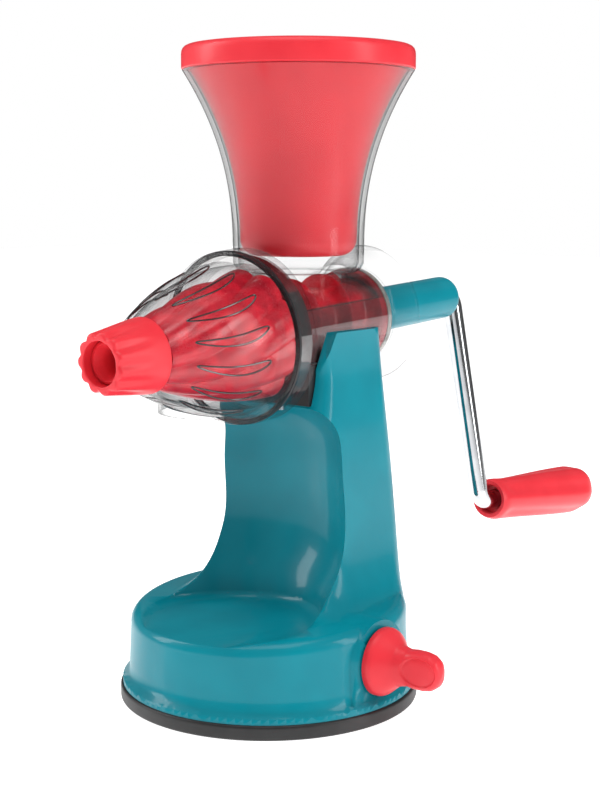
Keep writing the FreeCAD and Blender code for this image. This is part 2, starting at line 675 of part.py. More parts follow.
def auger():
    """Feed screw: rear disc, helical flight and a fluted crushing cone."""
    radius = size("auger_radius")
    core = size("auger_core")
    back = -size("back_wall - back_wall_thick - seal_thick - 1.3")
    disc = size("auger_disc")
    seat = size("socket_back + socket_wall") + 0.8
    nose = size("cone_nose")
    screw_start = back + disc + 5
    screw_end = seat - 6
    body = Part.makeCylinder(core, seat - back + 1, Vector(0, 0, back))
    plate = Part.makeCylinder(radius, disc, Vector(0, 0, back))
    plate = plate.makeChamfer(0.8, [e for e in plate.Edges if e.Length > radius and e.isClosed()])
    body = body.fuse(plate)
    body = body.fuse(flight(radius, core, size("auger_pitch"), screw_start, screw_end - screw_start))
    wide = size("auger_cone_radius")
    small = size("auger_cone_nose")
    rings = []
    for step in range(7):
        share = step / 6
        height = seat + (nose - 2 - seat) * share
        bulge = size("cone_bulge") * 3 * share * (1 - share)
        rings.append(lobed_ring(wide + (small - wide) * share + bulge, height, 2.4 * share, 7, 0.16))
    body = body.fuse(Part.makeLoft(rings, True, False))
    pin = Part.makeCylinder(size("pulp_bore_radius - fit_gap") - 0.05, 8, Vector(0, 0, nose - 3))
    body = body.fuse(pin)
    socket = hexagon(size("hex_radius + fit_gap"), 31, back - 1)
    return body.cut(socket)


def hexagon(radius, length, start):
    """A hexagonal bar along local Z."""
    corners = [Vector(radius * math.cos(math.radians(60 * k)), radius * math.sin(math.radians(60 * k)), start)
               for k in range(7)]
    return Part.Face(Part.Wire(lines(corners))).extrude(Vector(0, 0, length))


def cross_pin(height, length):
    """A pin across the axis at one height."""
    return Part.makeCylinder(size("pin_radius"), length, Vector(-length / 2, 0, height), Vector(1, 0, 0))


auger_back = size("back_wall - back_wall_thick - seal_thick - 1.3")
DRIVE_PIN = -auger_back - 20
ROD_PIN = -size("hub_end") + 14
shaped("auger", auger(), barrel_frame)
drive_bar = hexagon(size("hex_radius"), 55, -auger_back - 26).cut(cross_pin(DRIVE_PIN, 30))
shaped("drive_shaft", drive_bar, barrel_frame)
pin_length = size("2 * hub_radius - 1")
shaped("drive_pin", cross_pin(DRIVE_PIN, pin_length), barrel_frame)
shaped("rod_pin", cross_pin(ROD_PIN, pin_length), barrel_frame)


def crank_hub():
    """Handle hub: a plain round bar with a rounded end, sockets at both ends."""
    near = -auger_back - 0.4
    far = -size("hub_end")
    radius = size("hub_radius")
    round_end = radius * 0.45
    middle = flat(radius - round_end * (1 - math.cos(math.pi / 4)),
                  far + round_end * (1 - math.sin(math.pi / 4)))
    hub = profile_turn(lines([flat(0, far), flat(0, near), flat(radius, near), flat(radius, far + round_end)]) +
                       [Part.Arc(flat(radius, far + round_end), middle, flat(radius - round_end, far)).toShape(),
                        Part.makeLine(flat(radius - round_end, far), flat(0, far))])
    hub = hub.cut(hexagon(size("hex_radius + fit_gap"), 30, near - 28))
    hub = hub.cut(cross_pin(DRIVE_PIN, 30)).cut(cross_pin(ROD_PIN, 30))
    return hub.cut(Part.makeCylinder(size("rod_radius + fit_gap"), 26, Vector(0, 0, far - 1)))


shaped("crank_hub", crank_hub(), barrel_frame)

# The crank rod lies in one plane: out along the axis, down the arm, and out
# again along the grip's own axis, which dips a little further than the barrel's.
swing = math.radians(size("arm_swing"))
arm_direction = Vector(math.sin(swing), -math.cos(swing), 0)
arm_top = Vector(0, 0, -size("rod_plane"))
arm_foot = arm_top + arm_direction * size("arm_length")
grip_turn = Rotation(Vector(0, 0, 1).cross(arm_direction * -1), size("grip_dip"))
grip_frame = barrel_frame.multiply(Placement(arm_foot, grip_turn))


def crank_rod():
    """Round steel bar with two bends."""
    bend = size("rod_bend")
    elbow = size("rod_elbow")
    start = -size("hub_end") + 24
    along = Vector(0, 0, -1)
    out = grip_turn.multVec(along)
    first = arm_top - along * bend
    second = arm_top + arm_direction * bend
    bulge = arm_top + (arm_direction - along) * bend * (1 - math.sqrt(0.5))
    reach = elbow * math.tan(math.radians(90 - size("grip_dip")) / 2)
    third = arm_foot - arm_direction * reach
    fourth = arm_foot + out * reach
    centre = third + along * elbow
    swell = centre + (arm_foot - centre).normalize() * elbow
    end = arm_foot + out * size("grip_start + grip_length - 8")
    path = Part.Wire([Part.makeLine(Vector(0, 0, start), first), Part.Arc(first, bulge, second).toShape(),
                      Part.makeLine(second, third), Part.Arc(third, swell, fourth).toShape(),
                      Part.makeLine(fourth, end)])
    ring = Part.Wire(Part.makeCircle(size("rod_radius"), Vector(0, 0, start), along))
    return path.makePipeShell([ring], True, True).cut(cross_pin(ROD_PIN, 30))


shaped("crank_rod", crank_rod(), barrel_frame)


def hand_grip():
    """Tapered grip with a slow twist and a rounded far end."""
    start = -size("grip_start")
    length = size("grip_length")
    near = size("grip_near_radius")
    far = size("grip_far_radius")
    rings = []
    for step in range(9):
        share = step / 8
        radius = near + (far - near) * share
        if step == 8:
            radius = far * 0.86
        rings.append(lobed_ring(radius, start - length * (share if step else 0), 1.9 * share, 5, 0.13))
    grip = Part.makeLoft(rings, True, False)
    bore = Part.makeCylinder(size("rod_radius + fit_gap"), length, Vector(0, 0, start + 1), Vector(0, 0, -1))
    mouth = Part.makeCylinder(size("rod_radius + 3"), 6, Vector(0, 0, start + 1), Vector(0, 0, -1))
    room = Part.makeCylinder(size("rod_radius + 2.8"), 14, Vector(0, 0, start - length + 14), Vector(0, 0, -1))
    return grip.cut(bore.fuse([mouth, room]))


shaped("hand_grip", hand_grip(), grip_frame)

turned("grip_nut", [
    ("rod_radius", "-grip_start - grip_length + 9.7"), ("rod_radius + 2.4", "-grip_start - grip_length + 9.7"),
    ("rod_radius + 2.4", "-grip_start - grip_length + 13.7"),
    ("rod_radius", "-grip_start - grip_length + 13.7")], grip_frame)

turned("grip_cap", [
    ("0", "-grip_start - grip_length - 1.2"), ("rod_radius + 1.5", "-grip_start - grip_length - 1.2"),
    ("rod_radius + 2.75", "-grip_start - grip_length + 0.5"),
    ("rod_radius + 2.75", "-grip_start - grip_length + 5"), ("0", "-grip_start - grip_length + 5")],
    grip_frame)


# ------------------------------------------------------------ pusher and lid
def pusher_shell():
    """Red food pusher: a thin shell that follows the hopper, closed below."""
    gap = size("hopper_wall + pusher_gap")
    wall = size("pusher_wall")
    bottom = size("pusher_bottom")
    top = size("hopper_top")
    outer = hopper_curve(gap, bottom + 7, top, 8)
    inner = hopper_curve(gap + wall, bottom + 7, top, 8)
    under = [flat(0, bottom), flat(outer[0].x - 9, bottom), outer[0]]
    inside = [flat(0, bottom + wall), flat(inner[0].x - 8, bottom + wall), inner[0]]
    edges = [smooth(outer), smooth(inner), Part.makeLine(outer[-1], inner[-1])]
    for points in (under, inside):
        edges.append(Part.makeLine(points[0], points[1]))
        shoulder = points[1] + Vector((points[2].x - points[1].x) * 0.71,
                                      0, (points[2].z - points[1].z) * 0.29)
        edges.append(Part.Arc(points[1], shoulder, points[2]).toShape())
    edges.append(Part.makeLine(under[0], inside[0]))
    return profile_turn(Part.__sortEdges__(edges))


shaped("pusher_shell", pusher_shell(), Placement(hopper_axis, Rotation()))

turned("lid", [
    ("0", "hopper_top + lid_tall"), ("lid_radius - lid_round - 6", "hopper_top + lid_tall - 0.2"),
    ("lid_radius - lid_round", "hopper_top + lid_tall - 0.6"),
    ("lid_radius - 0.29 * lid_round", "hopper_top + lid_tall - 0.6 - 0.29 * lid_round"),
    ("lid_radius", "hopper_top + lid_tall - 0.6 - lid_round"), ("lid_radius", "hopper_top + 0.3"),
    ("hopper_mouth_radius - hopper_wall - pusher_gap - pusher_wall - 0.1", "hopper_top + 0.3"),
    ("hopper_mouth_radius - hopper_wall - pusher_gap - pusher_wall - 2.5", "hopper_top + lid_tall - lid_wall - 1"),
    ("0", "hopper_top + lid_tall - lid_wall - 1")], Placement(hopper_axis, Rotation()))

doc.recompute()
failed = [item.Name for item in doc.Objects
          if any(word in item.State for word in ("Invalid", "Error"))]
for label, item in subparts.items():
    if item.Shape.isNull() or not item.Shape.isValid() or not item.Shape.Solids:
        failed.append(label)
if failed:
    raise RuntimeError("not built: " + ", ".join(failed))

os.makedirs("parts", exist_ok=True)
for label, item in subparts.items():
    item.Shape.exportStep(f"parts/{label}.step")
    box = item.Shape.BoundBox
    print(f"{label:16s} solids {len(item.Shape.Solids)} volume {item.Shape.Volume:10.1f} "
          f"z {box.ZMin:7.1f} {box.ZMax:7.1f} y {box.YMin:7.1f} {box.YMax:7.1f} x {box.XMin:6.1f} {box.XMax:6.1f}")
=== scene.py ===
# %% [markdown]
# # A hand-cranked juicer in coral, teal and clear plastic
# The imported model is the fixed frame: it holds every piece at its real size
# and place. This script adds what the eye needs: smooth moulded surfaces, the
# finishes of plastic, rubber and bright steel, a table and studio light.

# %% Load the frame
import bmesh
import bpy
import json
import math
import numpy as np
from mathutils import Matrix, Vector


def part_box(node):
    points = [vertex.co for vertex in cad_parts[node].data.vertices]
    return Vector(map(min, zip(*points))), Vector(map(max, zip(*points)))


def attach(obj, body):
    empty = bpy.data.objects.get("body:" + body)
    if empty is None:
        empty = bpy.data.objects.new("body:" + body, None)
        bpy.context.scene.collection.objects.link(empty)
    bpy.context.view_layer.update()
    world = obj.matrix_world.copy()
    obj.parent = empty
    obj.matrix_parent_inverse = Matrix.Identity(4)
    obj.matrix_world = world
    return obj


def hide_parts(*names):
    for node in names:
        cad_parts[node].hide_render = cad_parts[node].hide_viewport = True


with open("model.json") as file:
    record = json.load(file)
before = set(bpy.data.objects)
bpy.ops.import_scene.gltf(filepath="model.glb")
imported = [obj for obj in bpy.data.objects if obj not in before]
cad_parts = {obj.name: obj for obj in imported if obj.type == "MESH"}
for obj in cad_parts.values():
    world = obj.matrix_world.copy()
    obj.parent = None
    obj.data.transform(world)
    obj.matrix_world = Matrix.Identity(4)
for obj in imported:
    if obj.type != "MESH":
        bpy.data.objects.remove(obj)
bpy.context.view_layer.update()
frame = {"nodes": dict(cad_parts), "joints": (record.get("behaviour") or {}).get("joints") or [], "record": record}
MM = 0.001

# %% [markdown]
# ## Where things are
# The barrel leans a few degrees, so its pieces are drawn in a space of their
# own: the local third axis runs along the crank's hinge towards the nozzle.
# The hinge in the record gives that axis and a point on it.

# %% The barrel's own space
joints = {joint["name"]: joint for joint in frame["joints"]}
barrel_origin = np.array(joints["crank_spin"]["pos_m"])
barrel_z = np.array(joints["crank_spin"]["axis"])
barrel_x = np.array([1.0, 0.0, 0.0])
barrel_y = np.cross(barrel_z, barrel_x)
grip_origin = np.array(joints["grip_spin"]["pos_m"])
lever_origin = np.array(joints["lever_turn"]["pos_m"])


def in_barrel(points, origin=barrel_origin):
    """Local millimetres to world metres: origin plus each number times its own axis."""
    return origin + MM * (points @ np.stack([barrel_x, barrel_y, barrel_z]))


def upright(points, x=0.0, y=0.0):
    """Local millimetres on a vertical axis through (x, y) to world metres."""
    return MM * (points + np.array([x, y, 0.0]))


lid_low, lid_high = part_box("lid")
HOPPER_Y = (lid_low.y + lid_high.y) / 2 / MM
print("barrel axis", barrel_z.round(4), "hopper axis at y", round(HOPPER_Y, 2))

# %% [markdown]
# ## The camera
# The camera stands well back with a short telephoto lens, a little above the
# middle of the object, so that uprights stay nearly upright.

# %% Camera
camera = bpy.data.objects.new("camera", bpy.data.cameras.new("camera"))
bpy.context.scene.collection.objects.link(camera)
bpy.context.scene.camera = camera
camera.location = (0.4679, -0.5514, 0.2465)
view_direction = Vector((-0.6245, 0.7682, -0.1409))
camera.rotation_euler = view_direction.to_track_quat("-Z", "Y").to_euler()
camera.data.lens = 68.55
camera.data.sensor_width = 36.0
camera.data.clip_start = 0.01

# %% [markdown]
# ## Surfaces from arrays
# Every new piece is a grid of points. A turned piece is a profile swept once
# round an axis; any other piece is a formula of two parameters.


# %% Mesh helpers
def grid_mesh(name, points, wrap_rows=True, wrap_columns=True):
    """A mesh from a grid of points (rows, columns, 3): each cell is one quad.

    wrap_rows joins the last row to the first, wrap_columns the last column to
    the first, so a turned closed profile becomes a closed skin.
    """
    rows, columns = points.shape[:2]
    index = np.arange(rows * columns).reshape(rows, columns)
    if wrap_rows:
        index = np.concatenate([index, index[:1]], 0)
    if wrap_columns:
        index = np.concatenate([index, index[:, :1]], 1)
    quads = np.stack([index[:-1, :-1], index[:-1, 1:], index[1:, 1:], index[1:, :-1]], -1).reshape(-1, 4)
    return quads_mesh(name, points.reshape(-1, 3), quads)


def quads_mesh(name, points, quads):
    """A new object from points and four-cornered faces, merged and turned outwards."""
    mesh = bpy.data.meshes.new(name)
    mesh.from_pydata(points.tolist(), [], quads.tolist())
    piece = bpy.data.objects.new(name, mesh)
    bpy.context.scene.collection.objects.link(piece)
    tidy(piece)
    return piece


def tidy(piece, merge=2e-6, sharp_degrees=35):
    """Merge doubles, turn the faces outwards and shade smooth up to an angle."""
    work = bmesh.new()
    work.from_mesh(piece.data)
    bmesh.ops.remove_doubles(work, verts=work.verts, dist=merge)
    bmesh.ops.dissolve_degenerate(work, edges=work.edges, dist=1e-7)
    bmesh.ops.recalc_face_normals(work, faces=work.faces)
    work.to_mesh(piece.data)
    work.free()
    piece.data.shade_smooth()
    piece.data.set_sharp_from_angle(angle=math.radians(sharp_degrees))


def rounded(corners, steps=6):
    """A profile with rounded corners.

    Each corner is (radius, height, rounding). A rounded corner becomes a
    quadratic curve between two points that lie rounding away along its sides;
    a corner with rounding 0 stays sharp.
    """
    corners = np.array(corners, float)
    here = corners[:, :2]
    before = np.roll(here, 1, 0)
    after = np.roll(here, -1, 0)
    share = np.linspace(0, 1, steps)[None, :, None]
    size = corners[:, 2:3]
    start = here + (before - here) * np.minimum(size / np.linalg.norm(before - here, axis=1)[:, None], 0.5)
    end = here + (after - here) * np.minimum(size / np.linalg.norm(after - here, axis=1)[:, None], 0.5)
    curve = ((1 - share) ** 2 * start[:, None] + 2 * share * (1 - share) * here[:, None]
             + share ** 2 * end[:, None])
    flat = curve.reshape(-1, 2)
    keep = np.linalg.norm(flat - np.roll(flat, 1, 0), axis=1) > 1e-6
    return flat[keep]


def refined(profile, longest):
    """Cut each side of a closed profile into equal parts no longer than a limit."""
    pieces = []
    for start, end in zip(profile, np.roll(profile, -1, 0)):
        count = max(1, math.ceil(np.linalg.norm(end - start) / longest))
        pieces.append(start + (end - start) * np.arange(count)[:, None] / count)
    return np.concatenate(pieces)


def turn(profile, segments=144):
    """Sweep (radius, height) points once round the third axis: a grid of points."""
    angle = np.linspace(0, 2 * np.pi, segments, endpoint=False)[:, None]
    radius, height = profile[:, 0][None], profile[:, 1][None]
    return np.stack([radius * np.cos(angle), radius * np.sin(angle),
                     height + 0 * angle], -1)


def turned(name, corners, place, segments=144, steps=6):
    """A closed turned piece from rounded corners, put in place by a function."""
    return grid_mesh(name, place(turn(rounded(corners, steps), segments)))


def skin_of(node, name, sharp_degrees=30):
    """A merged, smooth-shaded copy of a CAD node's mesh."""
    piece = bpy.data.objects.new(name, frame["nodes"][node].data.copy())
    bpy.context.scene.collection.objects.link(piece)
    tidy(piece, 1e-6, sharp_degrees)
    return piece


def settle(piece, body, *nodes, slot=None, finish=None):
    """Ride on a body, stand for CAD nodes and take a finish. The slot is not used."""
    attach(piece, body)
    if nodes:
        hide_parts(*nodes)
    if finish:
        piece.data.materials.clear()
        piece.data.materials.append(finish)
    return piece


# %% [markdown]
# ## Finishes
# Colours are written as they look on a screen, in hex, and one function turns
# them to linear light. Each finish is a Principled shader with its own small
# amount of unevenness: no moulded surface is perfectly flat.


# %% Material helpers
def linear(code):
    """An sRGB hex colour as linear light with alpha 1."""
    parts = np.array([int(code[k:k + 2], 16) for k in (1, 3, 5)]) / 255
    light = np.where(parts <= 0.04045, parts / 12.92, ((parts + 0.055) / 1.055) ** 2.4)
    return (*light.tolist(), 1.0)


def add(tree, kind, settings=None, links=None):
    """Add one node: settings are input values or properties, links are input sockets.

    A key is a socket's name, or its number where several share one name.
    """
    item = tree.nodes.new(kind)
    for key, value in (settings or {}).items():
        if isinstance(key, int) or key in item.inputs:
            item.inputs[key].default_value = value
        else:
            setattr(item, key, value)
    for key, socket in (links or {}).items():
        tree.links.new(socket, item.inputs[key])
    return item


def finish(name, **settings):
    """A new material with one Principled shader; returns the material, tree and shader."""
    material = bpy.data.materials.new(name)
    material.use_nodes = True
    tree = material.node_tree
    shader = tree.nodes["Principled BSDF"]
    for key, value in settings.items():
        shader.inputs[key.replace("_", " ")].default_value = value
    return material, tree, shader


def uneven(tree, shader, waviness_mm, grain_mm, wave_height, grain_height):
    """Bump from two noises: a slow wave of the moulding and a fine surface grain.

    All four sizes are millimetres: how wide each noise is, and how high.
    """
    place = add(tree, "ShaderNodeTexCoord")
    wave = add(tree, "ShaderNodeTexNoise", {"Scale": 1000 / waviness_mm, "Detail": 2.0},
               {"Vector": place.outputs["Object"]})
    grain = add(tree, "ShaderNodeTexNoise", {"Scale": 1000 / grain_mm, "Detail": 3.0},
                {"Vector": place.outputs["Object"]})
    first = add(tree, "ShaderNodeBump", {"Strength": 1.0, "Distance": wave_height * MM},
                {"Height": wave.outputs["Fac"]})
    second = add(tree, "ShaderNodeBump", {"Strength": 1.0, "Distance": grain_height * MM},
                 {"Height": grain.outputs["Fac"], "Normal": first.outputs["Normal"]})
    tree.links.new(second.outputs["Normal"], shader.inputs["Normal"])
    return wave, grain


def tinted(tree, shader, source, light_code, dark_code, low=0.35, high=0.65):
    """Colour that drifts a little between two tones with a noise."""
    ramp = add(tree, "ShaderNodeValToRGB", {}, {"Fac": source.outputs["Fac"]})
    ramp.color_ramp.elements[0].position = low
    ramp.color_ramp.elements[1].position = high
    ramp.color_ramp.elements[0].color = linear(dark_code)
    ramp.color_ramp.elements[1].color = linear(light_code)
    tree.links.new(ramp.outputs["Color"], shader.inputs["Base Color"])


def scuffed(tree, shader, grain, low, high):
    """Roughness that varies between two values with the surface grain."""
    spread = add(tree, "ShaderNodeMapRange", {"To Min": low, "To Max": high},
                 {"Value": grain.outputs["Fac"]})
    tree.links.new(spread.outputs["Result"], shader.inputs["Roughness"])


def moulded(name, sizes, tones, roughness, **settings):
    """A plain finish: bump, a drift between two tones and a spread of roughness."""
    material, tree, shader = finish(name, **settings)
    wave, grain = uneven(tree, shader, *sizes)
    tinted(tree, shader, wave, *tones)
    scuffed(tree, shader, grain, *roughness)
    return material


# %% [markdown]
# ### Teal ABS, injection moulded
# ABS takes a high gloss from a polished mould. The eye sees broad soft
# highlights with a very slight waviness and hardly any grain. The shine comes
# mostly from the coat, so the colour below it stays deep.

# %% Teal ABS
abs_teal = moulded("moulded_abs_teal", (30, 0.6, 0.012, 0.003), ("#00808F", "#007887"), (0.3, 0.4),
                   IOR=1.5, Specular_IOR_Level=0.12, Coat_Weight=0.25, Coat_Roughness=0.1)

# %% [markdown]
# ### Coral and red polypropylene, injection moulded
# Polypropylene is a little softer and waxier than ABS: light enters it and
# comes back out, so shaded sides stay warm. The feed screw is the same plastic
# in a deeper, redder shade.

# %% Coral and red polypropylene
pp_coral = moulded("moulded_polypropylene_coral", (22, 0.5, 0.012, 0.005), ("#DE2E39", "#D52733"), (0.34, 0.46),
                   IOR=1.36, Subsurface_Weight=0.06, Subsurface_Scale=0.0015, Coat_Weight=0.12,
                   Coat_Roughness=0.25, Subsurface_Radius=(1.0, 0.25, 0.2))
pp_red = moulded("moulded_polypropylene_red", (7, 0.5, 0.15, 0.006), ("#DE1F34", "#B8142A"), (0.22, 0.34),
                 IOR=1.47, Coat_Weight=0.3, Coat_Roughness=0.15)

# %% [markdown]
# ### Clear styrene plastic (SAN)
# SAN is used for clear kitchenware. A thin wall lets light straight through
# where it is seen square on, and turns dark and shiny where it is seen edge on.
# The dark grey there is partly the longer path through the wall and partly
# painted reflection of dark surroundings. So the surface covers more the more
# it slants away from the eye. The index is set above SAN's own 1.57, because
# the covering share also thins the shine.

# %% Clear SAN, and painted shade for its cut edges
SQUARE_ON, EDGE_ON, SLANT_POWER = 0.05, 0.95, 3.4
# Dark grey base, shown more the more edge on: partly the wall's longer path, partly painted reflection of dark
# surroundings.
san_clear, tree, shader = finish("moulded_san_clear", IOR=2.2, Roughness=0.03, Base_Color=linear("#1B2123"))
uneven(tree, shader, 26, 1.5, 0.02, 0.001)
slant = add(tree, "ShaderNodeLayerWeight", {"Blend": 0.5})
steep = add(tree, "ShaderNodeMath", {"operation": "POWER", 1: SLANT_POWER}, {0: slant.outputs["Facing"]})
cover_and_painted_dark = add(tree, "ShaderNodeMapRange", {"To Min": SQUARE_ON, "To Max": EDGE_ON}, {"Value": steep.outputs[0]})
tree.links.new(cover_and_painted_dark.outputs["Result"], shader.inputs["Alpha"])

# The cut edges' dark grey is painted shade: the clear wall bends light there and has no dark colour of its own.
san_painted_edge_line = moulded("painted_shade_line_on_clear_san_edge", (9, 0.8, 0.01, 0.002), ("#23292B", "#101416"), (0.12, 0.25),
                   IOR=1.5, Coat_Weight=0.6, Coat_Roughness=0.05)

# %% [markdown]
# ### Rubber, steel and small parts
# The suction ring is black nitrile rubber with a matt moulded skin. The crank
# is drawn steel with bright nickel-chrome plating. The saddle is black ABS,
# and the two seals are silicone.

# %% Rubber, steel, black plastic and silicone
nitrile = moulded("moulded_nitrile_rubber", (9, 0.4, 0.02, 0.02), ("#1D1D1E", "#141415"), (0.4, 0.55), IOR=1.52)
plated_steel = moulded("bright_plated_steel", (14, 0.3, 0.006, 0.001), ("#C9CBCD", "#BABCBF"), (0.07, 0.13),
                       Metallic=1.0)
black_abs = moulded("moulded_abs_black", (12, 0.5, 0.02, 0.01), ("#1D1E20", "#141517"), (0.32, 0.45), IOR=1.5)
silicone_pale = moulded("moulded_silicone_pale", (9, 0.5, 0.02, 0.01), ("#CFCEC9", "#BDBCB7"), (0.4, 0.55),
                        IOR=1.41, Subsurface_Weight=0.2, Subsurface_Scale=0.002)
silicone_dark = moulded("moulded_silicone_dark", (9, 0.5, 0.02, 0.01), ("#26272A", "#17181A"), (0.35, 0.5),
                        IOR=1.41)

# %% [markdown]
# ### A finish for every slot
# The record names a slot for each piece of the frame. Every frame piece takes
# its slot's finish, and the drawn pieces below take theirs as they are made.

# %% Slots
SLOT_FINISH = {"teal_plastic": abs_teal, "red_plastic": pp_coral, "clear_plastic": san_clear,
               "black_plastic": black_abs, "rubber": nitrile, "white_seal": silicone_pale,
               "dark_seal": silicone_dark, "bright_steel": plated_steel, "inner_plastic": black_abs}
slot_of = {part["node"]: part["material_slot"] for part in frame["record"]["subparts"]}
for name, node_object in frame["nodes"].items():
    node_object.data.materials.clear()
    node_object.data.materials.append(SLOT_FINISH[slot_of[name]])
print("finishes", len(bpy.data.materials))

# %% [markdown]
# ## Pieces taken over from the frame
# A CAD mesh is a bag of loose triangles. A merged copy, shaded smooth up to an
# angle, keeps the exact shape and loses the facets.

# %% Smooth copies
body_of = {part: body for body, parts in frame["record"]["behaviour"]["bodies"].items() for part in parts}
for node in ("base_housing", "barrel_hopper", "pusher_shell", "pulp_tube", "crank_rod", "grip_cap",
             "rear_seal", "front_seal", "barrel_saddle"):
    settle(skin_of(node, node + "_skin"), body_of[node], node, slot=slot_of[node],
           finish=SLOT_FINISH[slot_of[node]])

# %% [markdown]
# ## The suction ring
# Black rubber, turned, with a soft upper edge where it meets the drum and a
# shallow hollow underneath.

# %% Suction ring
POLE = 0.02
DRUM_INSIDE, RING_RADIUS, RING_TALL = 65.0, 72.4, 7.0
settle(turned("suction_ring", [
    (POLE, 5.6, 0), (53.5, 5.6, 1), (59.5, 0.05, 1), (RING_RADIUS, 0.05, 1.2), (RING_RADIUS, RING_TALL, 1.6),
    (DRUM_INSIDE, RING_TALL, 0.3), (DRUM_INSIDE, 9.0, 0.3), (10.0, 9.0, 0.3), (10.0, 7.6, 0.3), (POLE, 7.6, 0)],
    upright, 180), "base", "suction_cup", slot="rubber", finish=nitrile)

# %% [markdown]
# ## Lid
# A shallow coral cap with a full round on its top edge and a small one below.

# %% Lid
LID_FLOOR = lid_low.z / MM
LID_RADIUS = (lid_high.x - lid_low.x) / 2 / MM


def over_hopper(points):
    """Local millimetres on the hopper's own upright axis to world metres."""
    return upright(points, 0.0, HOPPER_Y)


settle(turned("lid_cap", [
    (POLE, LID_FLOOR + 11.7, 0), (46, LID_FLOOR + 11.5, 3), (LID_RADIUS, LID_FLOOR + 11.1, 4.2),
    (LID_RADIUS, LID_FLOOR, 0.9), (50.1, LID_FLOOR, 0.4), (47.6, LID_FLOOR + 8.2, 1),
    (POLE, LID_FLOOR + 8.2, 0)],
    over_hopper, 180), "pusher", "lid", slot="red_plastic", finish=pp_coral)

# %% [markdown]
# ## Nozzle
# The adjuster is a blunt cone with eleven scallops that run out towards the
# rear. Its radius is the profile's radius less a cosine wave of the angle, and
# the wave grows from nothing at the back to its full depth at the front.

# %% Nozzle
NOZZLE_BACK, NOZZLE_FRONT = 83.3, 110.35


def eased(share):
    """A smooth step from 0 to 1: three squares less two cubes of the share."""
    share = np.clip(share, 0, 1)
    return share * share * (3 - 2 * share)


def scalloped(profile, count, depth, start, end, inner, outer, segments=264):
    """Turn a profile and press scallops into it.

    The depth grows with height from start to end, and with radius from inner
    to outer, so the hole stays round.
    """
    grid = turn(profile, segments)
    radius = np.linalg.norm(grid[..., :2], axis=-1)
    angle = np.arctan2(grid[..., 1], grid[..., 0])
    wave = (0.5 + 0.5 * np.cos(count * angle)) ** 1.4
    press = depth * eased((grid[..., 2] - start) / (end - start))
    press = press * np.clip((radius - inner) / (outer - inner), 0, 1)
    grid[..., :2] *= (1 - press * wave / radius)[..., None]
    return grid


nozzle_profile = refined(rounded([
    (15.1, NOZZLE_BACK, 0.3), (17.1, NOZZLE_BACK, 0.8), (16.2, 92, 4), (14.6, 103, 4),
    (13.6, NOZZLE_FRONT, 1.6), (9.9, NOZZLE_FRONT, 0.9), (9.75, 100, 0.4), (15.1, 97.8, 0.4)], 9), 0.8)
nozzle_skin = scalloped(nozzle_profile, count=11, depth=1.5, start=86, end=108, inner=9.8, outer=13.2)
settle(grid_mesh("nozzle", in_barrel(nozzle_skin)),
       "nozzle", "nozzle_knob", slot="red_plastic", finish=pp_coral)

# %% [markdown]
# ## The clear strainer cone
# A thin turned shell: spigot, flange, bulging cone and neck. Its slots are
# leaves that lean round the cone; what the eye sees of them is the dark line
# that light bending at their clear cut edges makes. So each leaf is drawn as a
# thin bead that follows the slot's outline, with painted shade as its colour.

# %% Cone shell
CONE_ROOT, CONE_TIP, CONE_BULGE, CONE_WALL = 36.0, 18.6, 3.2, 2.3
FLANGE_FRONT, CONE_NOSE = 28.7, 83.0


def cone_radius(height):
    """The cone's outside: a straight taper plus a parabola that bulges it."""
    share = (height - FLANGE_FRONT) / (CONE_NOSE - FLANGE_FRONT)
    return CONE_ROOT + (CONE_TIP - CONE_ROOT) * share + CONE_BULGE * 4 * share * (1 - share)


heights = np.linspace(FLANGE_FRONT + 0.6, CONE_NOSE - 0.4, 30)
outside = np.stack([cone_radius(heights), heights, 0 * heights + 0.4], 1)
inside = outside[::-1] - np.array([CONE_WALL, 0, 0])
shell_corners = np.concatenate([
    [(37.9, 14.8, 0.4), (37.9, 25.9, 0.2), (40.4, 25.9, 0.4), (40.4, 28.7, 0.6)], outside,
    [(14.6, 83.2, 0.5), (14.6, 97.0, 0.5), (12.4, 97.0, 0.3), (12.4, 83.2, 0.5)], inside,
    [(33.7, 14.8, 0.4)]])
settle(turned("cone_shell", shell_corners, in_barrel, 180, 4), "cone", "juice_cone",
       slot="clear_plastic", finish=san_clear)


def bead(path, thick, place, sides=8):
    """A closed round bead: a small circle carried along a closed loop of points.

    The circle stands across the loop: one of its axes points away from the
    barrel's axis, the other is square to that and to the loop's direction.
    """
    ahead = np.roll(path, -1, 0) - np.roll(path, 1, 0)
    ahead /= np.linalg.norm(ahead, axis=1)[:, None]
    outward = path * np.array([1.0, 1.0, 0.0])
    outward /= np.linalg.norm(outward, axis=1)[:, None]
    across = np.cross(ahead, outward)
    angle = np.linspace(0, 2 * np.pi, sides, endpoint=False)
    ring = np.cos(angle)[None, :, None] * outward[:, None] + np.sin(angle)[None, :, None] * across[:, None]
    return place(path[:, None] + thick * ring)


def leaf(middle_angle, first, last, half_width, lean, count=56):
    """A leaf-shaped slot on the cone.

    Going round the loop, the height runs out and back; the angle is the middle
    angle plus the lean, plus or minus a half width that swells like a sine and
    is fuller towards the flange.
    """
    turn_round = np.linspace(0, 2 * np.pi, count, endpoint=False)
    share = 0.5 - 0.5 * np.cos(turn_round)
    height = first + (last - first) * share
    width = half_width * np.sin(turn_round) * (1.25 - 0.7 * share)
    angle = middle_angle + lean * (share - 0.5) ** 2 * 4 + width / cone_radius(height)
    radius = cone_radius(height) - 0.12
    return np.stack([radius * np.cos(angle), radius * np.sin(angle), height], 1)


